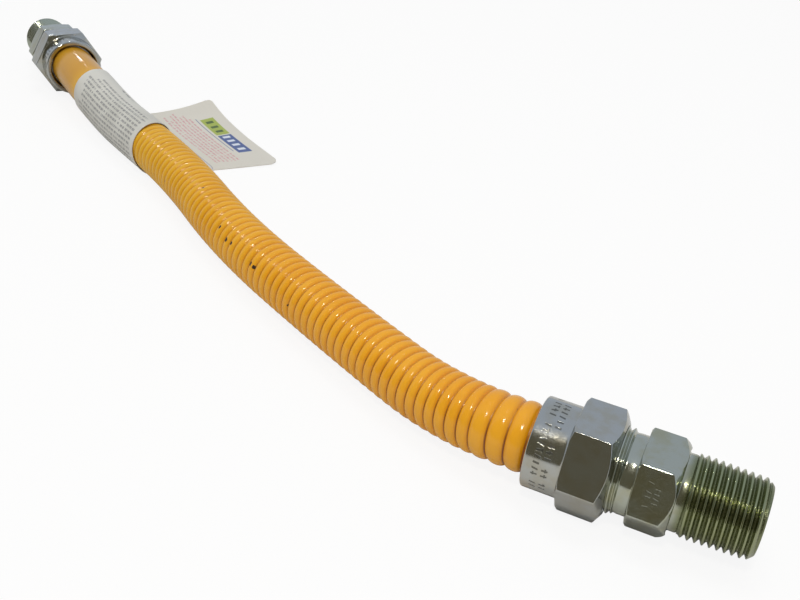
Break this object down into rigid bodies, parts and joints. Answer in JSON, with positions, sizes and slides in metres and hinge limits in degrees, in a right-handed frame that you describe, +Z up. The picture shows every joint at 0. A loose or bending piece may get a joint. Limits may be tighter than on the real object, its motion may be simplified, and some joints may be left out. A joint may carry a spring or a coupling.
{
  "type": "flexible gas hose",
  "caption": "Coated corrugated flexible gas hose with a swivelling flare nut and a threaded pipe adapter on each end, and a wrap-round paper label that stands out as a flag.",
  "frame": {"origin": "middle of the hose's bounding box, on the surface it lies on", "axes": "+X along the near fitting, out of its pipe thread; +Z up"},
  "size_m": [0.3908, 0.1996, 0.0277],
  "materials": {
    "yellow_coat": "glossy bonded coat over a corrugated steel tube",
    "zinc_plate": "bright zinc plate on turned steel",
    "label_paper": "light grey label paper with print"
  },
  "bodies": {
    "hose": {"hose_tube": "yellow_coat", "wrap_label": "label_paper"},
    "near_nut": {"near_nut": "zinc_plate"},
    "near_adapter": {"near_adapter": "zinc_plate"},
    "far_nut": {"far_nut": "zinc_plate"},
    "far_adapter": {"far_adapter": "zinc_plate"}
  },
  "joints": [
    {"name": "near_nut_turn", "type": "hinge", "parent": "hose", "child": "near_nut", "pos_m": [0.15143, -0.08421, 0.0135], "axis": [-1, 0, 0], "range_deg": [0, 1620]},
    {"name": "near_adapter_travel", "type": "slide", "parent": "hose", "child": "near_adapter", "axis": [1, 0, 0], "range_m": [0, 0.00714]},
    {"name": "far_nut_turn", "type": "hinge", "parent": "hose", "child": "far_nut", "pos_m": [-0.1544, 0.06707, 0.01389], "axis": [0.8153, -0.5752, 0.0663], "range_deg": [0, 1620]},
    {"name": "far_adapter_travel", "type": "slide", "parent": "hose", "child": "far_adapter", "axis": [-0.8153, 0.5752, -0.0663], "range_m": [0, 0.00714]}
  ],
  "couplings": [
    {"joint": "near_nut_turn", "follows": "near_adapter_travel", "rad_per_m": 3957.9},
    {"joint": "far_nut_turn", "follows": "far_adapter_travel", "rad_per_m": 3957.9}
  ]
}
